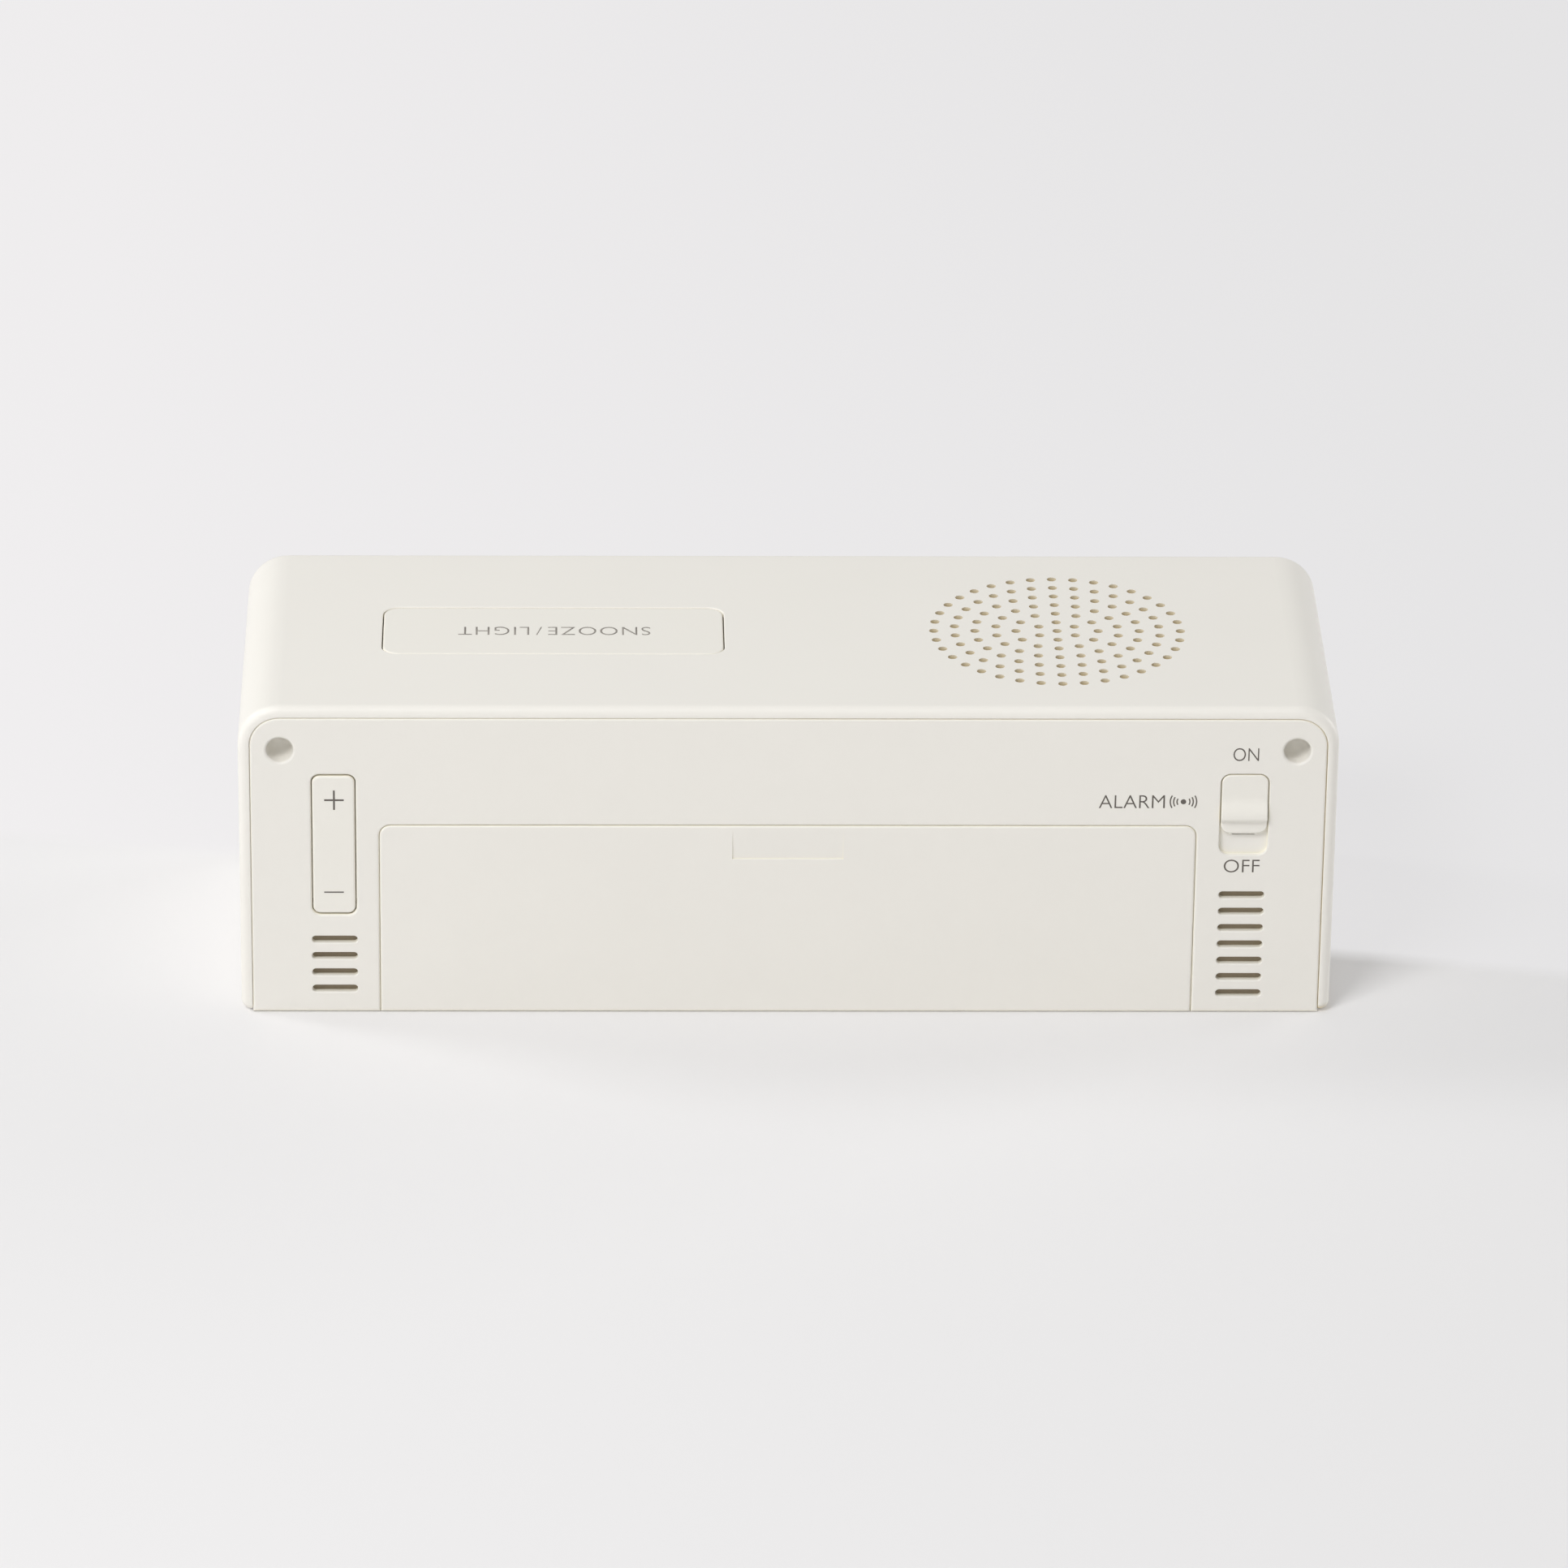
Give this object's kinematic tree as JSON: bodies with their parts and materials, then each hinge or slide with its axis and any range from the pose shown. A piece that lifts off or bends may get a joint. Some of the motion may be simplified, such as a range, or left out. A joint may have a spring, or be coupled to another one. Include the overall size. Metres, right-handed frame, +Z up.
{
  "type": "digital alarm clock",
  "caption": "Ivory moulded digital alarm clock with a top snooze bar and speaker grille, a front display, and a rear cover with battery door, plus/minus key and alarm slide switch.",
  "frame": {"origin": "on the table, under the middle of the case", "axes": "+Z up, +X along the width, -Y towards the display and +Y towards the rear cover"},
  "size_m": [0.15, 0.0515, 0.0464],
  "materials": {
    "case_plastic": "fine moulded texture",
    "control_plastic": "fine moulded texture",
    "clear_lens": "clear, polished",
    "display_glass": "polarised, satin",
    "light_guide": "translucent",
    "lamp_white": "moulded",
    "strip_rubber": "layered",
    "inner_plastic": "as moulded",
    "board_tan": "lacquered laminate",
    "screw_steel": "zinc plated",
    "chip_black": "moulded",
    "can_steel": "plated",
    "can_aluminium": "drawn",
    "switch_black": "moulded",
    "stem_plastic": "moulded",
    "sensor_white": "moulded",
    "grille_cloth": "fine woven",
    "speaker_steel": "pressed, painted",
    "cone_paper": "pressed paper",
    "magnet_ferrite": "ground",
    "cell_jacket": "plain jacket",
    "contact_nickel": "nickel plated",
    "foot_rubber": "matt"
  },
  "bodies": {
    "clock_body": {"case_sleeve": "case_plastic", "rear_cover": "case_plastic", "front_bezel": "case_plastic", "display_lens": "clear_lens", "lcd_panel": "display_glass", "light_guide": "light_guide", "backlight_lamps": "lamp_white", "contact_strip": "strip_rubber", "display_holder": "inner_plastic", "main_board": "board_tan", "board_screws": "screw_steel", "controller_chip": "chip_black", "quartz_crystal": "can_steel", "capacitors": "can_aluminium", "snooze_board": "board_tan", "snooze_switch": "switch_black", "snooze_screws": "screw_steel", "key_board": "board_tan", "key_switches": "switch_black", "alarm_board": "board_tan", "slide_switch": "can_steel", "climate_sensor": "sensor_white", "control_screws": "screw_steel", "grille_cloth": "grille_cloth", "speaker_frame": "speaker_steel", "speaker_cone": "cone_paper", "speaker_magnet": "magnet_ferrite", "battery_cell_1": "cell_jacket", "battery_cell_2": "cell_jacket", "contact_plate": "contact_nickel", "contact_leaf": "contact_nickel", "case_screws": "screw_steel", "rubber_feet": "foot_rubber"},
    "snooze_bar": {"snooze_bar": "control_plastic", "snooze_stem": "stem_plastic"},
    "plus_minus_key": {"plus_minus_key": "control_plastic", "key_stems": "stem_plastic"},
    "alarm_knob": {"alarm_knob": "control_plastic", "switch_lever": "stem_plastic"},
    "battery_door": {"battery_door": "case_plastic"}
  },
  "joints": [
    {"name": "snooze_press", "type": "slide", "parent": "clock_body", "child": "snooze_bar", "axis": [0, 0, -1], "range_m": [0, 0.0008], "stiffness_N_per_m": 300, "springref_m": -0.004},
    {"name": "key_rock", "type": "hinge", "parent": "clock_body", "child": "plus_minus_key", "pos_m": [0.06206, 0.022, 0.02566], "axis": [1, 0, 0], "range_deg": [-2, 2], "stiffness_Nm_per_rad": 0.15},
    {"name": "alarm_slide", "type": "slide", "parent": "clock_body", "child": "alarm_knob", "axis": [0, 0, -1], "range_m": [0, 0.0031]},
    {"name": "door_slide", "type": "slide", "parent": "clock_body", "child": "battery_door", "axis": [0, 0, -1], "range_m": [0, 0.03]}
  ]
}
